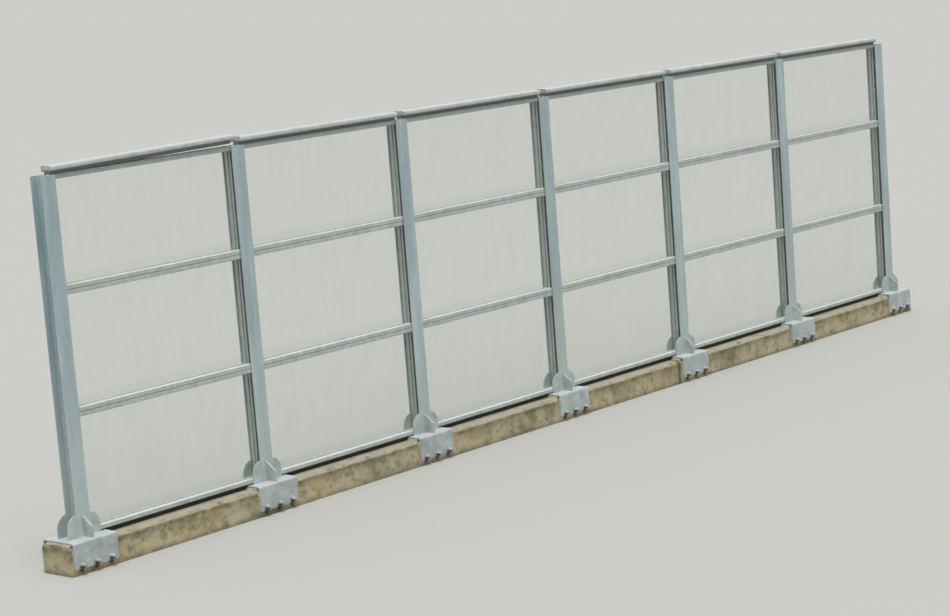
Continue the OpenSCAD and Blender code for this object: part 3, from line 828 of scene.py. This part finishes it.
def polyurethane_sealant():
    """Gunned polyurethane sealant: grey, rubbery and half matt, with dust caught on its skin."""
    material, tree, output, place = new_material("polyurethane_sealant")
    caught = add_node(tree, "TexNoise", {
        "Vector": place, "Scale": per_metre(30), "Detail": 6, "Roughness": 0.65})
    colour = add_node(tree, "ValToRGB", {"Fac": caught}, [
        (0.35, "6f7271"), (0.55, "858886"), (0.72, "a09f98")])
    skin = add_node(tree, "Bump", {
        "Strength": 0.3, "Distance": 0.001,
        "Height": add_node(tree, "TexNoise", {"Vector": place, "Scale": per_metre(6), "Detail": 3})})
    surface = add_node(tree, "BsdfPrincipled", {
        "Base Color": colour, "Roughness": 0.55, "Specular IOR Level": 0.4, "Normal": skin})
    tree.links.new(surface.outputs[0], output.inputs["Surface"])
    return material


sealant = polyurethane_sealant()
stack_top, neck_half = 3.117, 0.030
# Radius of the beads and how much it wavers; the torn one has left only a trace on its rail
whole_bead, torn_bead = (0.0045, 0.35), (0.0022, 0.6)
waver_step = 0.012


def sealant_bead(start, end, y, size, waver):
    """One bead along X on the top rail, round but uneven, as a hand-held gun leaves it."""
    length = end - start
    along_x = Matrix.Rotation(math.radians(90), 4, "Y")
    bm = bmesh.new()
    bmesh.ops.create_cone(bm, segments=8, radius1=size, radius2=size, depth=length, cap_ends=True,
                          matrix=Matrix.Translation(((start + end) / 2, y, stack_top)) @ along_x)
    lines = [e for e in bm.edges if abs(e.verts[0].co.x - e.verts[1].co.x) > length / 2]
    bmesh.ops.subdivide_edges(bm, edges=lines, cuts=round(length / waver_step))
    for v in bm.verts:
        swell = 1 + waver * noise.fractal(Vector((v.co.x * 14, y * 60, 0)), 1.0, 2.0, 3)
        if min(v.co.x - start, end - v.co.x) < 1e-4:
            swell *= 0.5
        v.co.y = y + (v.co.y - y) * swell
        v.co.z = stack_top + (v.co.z - stack_top) * swell
    return bm


beads = [sealant_bead(middle - cap_half, middle + cap_half, y, *(whole_bead if k else torn_bead))
         for k, middle in enumerate(bay_places) for y in (-neck_half, neck_half)]
make_piece(join(beads), "cap_sealant", sealant)

# Studio
# A plain pale floor under an even sky, brighter overhead, with one large soft lamp above the row.


def pale_floor():
    """Plain matt floor of one pale grey."""
    material, tree, output, _ = new_material("pale_floor")
    surface = add_node(tree, "BsdfPrincipled", {
        "Base Color": linear("c2c1bd"), "Roughness": 0.95, "Specular IOR Level": 0.1})
    tree.links.new(surface.outputs[0], output.inputs["Surface"])
    return material


floor_radius = 400
floor_bm = bmesh.new()
bmesh.ops.create_circle(floor_bm, cap_ends=True, segments=96, radius=floor_radius)
floor_mesh = bpy.data.meshes.new("studio_floor")
floor_bm.to_mesh(floor_mesh)
floor_bm.free()
floor_mesh.materials.append(pale_floor())
floor = bpy.data.objects.new("studio_floor", floor_mesh)
bpy.context.scene.collection.objects.link(floor)

world = bpy.data.worlds.new("even_sky")
world.use_nodes = True
sky = world.node_tree
sky.nodes.clear()
upward = add_node(sky, "SeparateXYZ", {"Vector": add_node(sky, "TexCoord").outputs["Generated"]})
glow = add_node(sky, "ValToRGB", {"Fac": upward.outputs["Z"]}, [
    (0.0, "b4b6b8"), (0.10, "b9bbbd"), (0.55, "e6e8ea"), (1.0, "ffffff")])
even_light = add_node(sky, "Background", {"Color": glow, "Strength": 0.74})
backdrop = add_node(sky, "Background", {"Color": linear("cecdc9"), "Strength": 1.0})
# Eyes, glass and metal see a pale backdrop that meets the floor without a line
ray = add_node(sky, "LightPath").outputs
seen = add_node(sky, "Math", {0: ray["Is Camera Ray"], 1: ray["Is Transmission Ray"]}, operation="ADD")
mirrored = add_node(sky, "Math", {0: seen, 1: ray["Is Glossy Ray"]}, operation="ADD", use_clamp=True)
around = add_node(sky, "MixShader", {0: mirrored, 1: even_light, 2: backdrop})
sky.links.new(around.outputs[0], add_node(sky, "OutputWorld").inputs["Surface"])
bpy.context.scene.world = world

lamp = bpy.data.lights.new("overhead_softbox", "SUN")
lamp.angle = math.radians(22)
lamp.energy = 1.7
softbox = bpy.data.objects.new("overhead_softbox", lamp)
bpy.context.scene.collection.objects.link(softbox)
softbox.location = (-1.8, -2.5, 14.0)
row_middle = Vector((0, 0, 1.5))
softbox.rotation_euler = (row_middle - softbox.location).to_track_quat("-Z", "Y").to_euler()

# Camera
# In front of the row, beyond its first post and a little above its top, looking along it.

lens = bpy.data.cameras.new("camera")
lens.lens, lens.sensor_width = 90.4, 36.0
lens.clip_end = 1000
camera = bpy.data.objects.new("camera", lens)
bpy.context.scene.collection.objects.link(camera)
station, aim = Vector((-17.505, -14.644, 4.700)), Vector((-1.136, 0.0, 1.262))
lean = math.radians(4.398)
level = (aim - station).to_track_quat("-Z", "Y")
camera.rotation_mode = "QUATERNION"
camera.rotation_quaternion = level @ Matrix.Rotation(-lean, 3, "Z").to_quaternion()
camera.location = station
bpy.context.scene.camera = camera
bpy.context.scene.view_settings.view_transform = "Standard"
